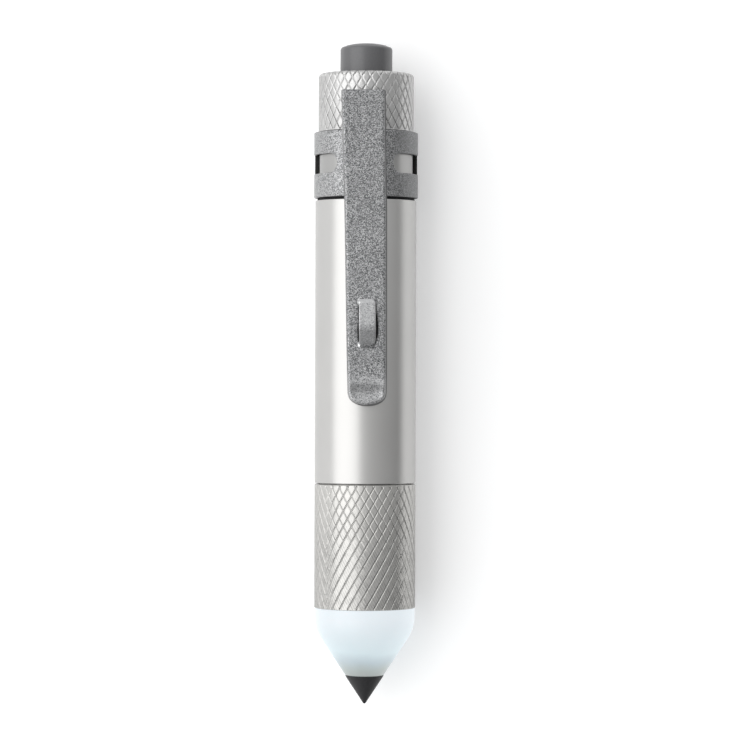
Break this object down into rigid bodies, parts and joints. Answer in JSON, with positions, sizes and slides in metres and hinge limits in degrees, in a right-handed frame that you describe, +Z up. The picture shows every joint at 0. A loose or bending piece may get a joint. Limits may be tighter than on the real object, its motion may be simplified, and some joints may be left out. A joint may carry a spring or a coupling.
{
  "type": "light-up pen",
  "caption": "Stubby pencil-shaped light pen: dark nib in a frosted glowing nose, knurled screw-on head and tail cap, spring clip with lanyard loop, push-button switch in the tail.",
  "frame": {"origin": "under the middle of the pen's length, on the level that the clip band's lowest line rests on", "axes": "+Y along the pen from nib to push button, +Z up through the clip, +X to the right seen from above with the button away from the viewer"},
  "size_m": [0.0144, 0.0916, 0.0173],
  "materials": {
    "satin_aluminium": "fine satin, bead blasted and anodised natural",
    "knurled_aluminium": "satin with a cut diamond knurl",
    "cast_steel": "grainy blasted silver",
    "brass": "bright turned",
    "copper": "bright stamped",
    "spring_steel": "drawn wire",
    "tinned_wire": "tinned",
    "frosted_plastic": "frosted, lets light through",
    "clear_epoxy": "clear moulded",
    "graphite": "dark grey, softly shining",
    "black_rubber": "matt",
    "grey_rubber": "smooth satin",
    "black_plastic": "moulded",
    "white_plastic": "moulded",
    "green_board": "lacquered",
    "dark_ferrite": "sintered",
    "cell_jacket": "printed film over a can"
  },
  "bodies": {
    "barrel": {"barrel": "satin_aluminium", "head_seal": "black_rubber", "cell_can": "cell_jacket", "cell_washer": "white_plastic", "cell_terminal": "spring_steel", "band_washer": "black_rubber"},
    "light_engine": {"light_engine_cup": "brass", "led_lamp": "clear_epoxy", "led_lead_left": "tinned_wire", "led_lead_right": "tinned_wire", "driver_board": "green_board", "driver_inductor": "dark_ferrite", "driver_chip": "black_plastic", "contact_insulator": "white_plastic", "contact_spring": "spring_steel"},
    "head": {"head_sleeve": "knurled_aluminium", "nose": "frosted_plastic", "nose_seal": "black_rubber", "nib": "graphite"},
    "switch": {"switch_housing": "black_plastic", "switch_board": "green_board", "contact_pin_left": "copper", "contact_pin_right": "copper", "tail_spring": "spring_steel", "switch_return_spring": "spring_steel"},
    "tail_cap": {"tail_cap": "knurled_aluminium", "retaining_ring": "brass"},
    "button": {"push_button": "grey_rubber", "switch_plunger": "white_plastic", "contact_bridge": "copper"},
    "clip_band": {"clip_band": "cast_steel"},
    "clip_arm": {"clip_arm": "cast_steel"}
  },
  "joints": [
    {"name": "light_engine_advance", "type": "slide", "parent": "barrel", "child": "light_engine", "axis": [0, -1, 0], "range_m": [0, 0.004]},
    {"name": "head_turn", "type": "hinge", "parent": "light_engine", "child": "head", "pos_m": [0, -0.024, 0.0072], "axis": [0, -1, 0], "range_deg": [0, 1800]},
    {"name": "switch_advance", "type": "slide", "parent": "barrel", "child": "switch", "axis": [0, 1, 0], "range_m": [0, 0.0032]},
    {"name": "tail_cap_turn", "type": "hinge", "parent": "switch", "child": "tail_cap", "pos_m": [0, 0.0374, 0.0072], "axis": [0, 1, 0], "range_deg": [0, 1440]},
    {"name": "button_press", "type": "slide", "parent": "switch", "child": "button", "axis": [0, -1, 0], "range_m": [0, 0.0016], "stiffness_N_per_m": 800, "springref_m": -0.002, "deforming": ["switch_return_spring"]},
    {"name": "band_swivel", "type": "hinge", "parent": "barrel", "child": "clip_band", "pos_m": [0, 0.0289, 0.0072], "axis": [0, 1, 0], "continuous": true},
    {"name": "clip_lift", "type": "hinge", "parent": "clip_band", "child": "clip_arm", "pos_m": [0, 0.0289, 0.01471], "axis": [-1, 0, 0], "range_deg": [0, 3.5], "stiffness_Nm_per_rad": 0.5, "springref_deg": -1.72}
  ],
  "couplings": [
    {"joint": "head_turn", "follows": "light_engine_advance", "rad_per_m": 7854},
    {"joint": "tail_cap_turn", "follows": "switch_advance", "rad_per_m": 7854}
  ]
}
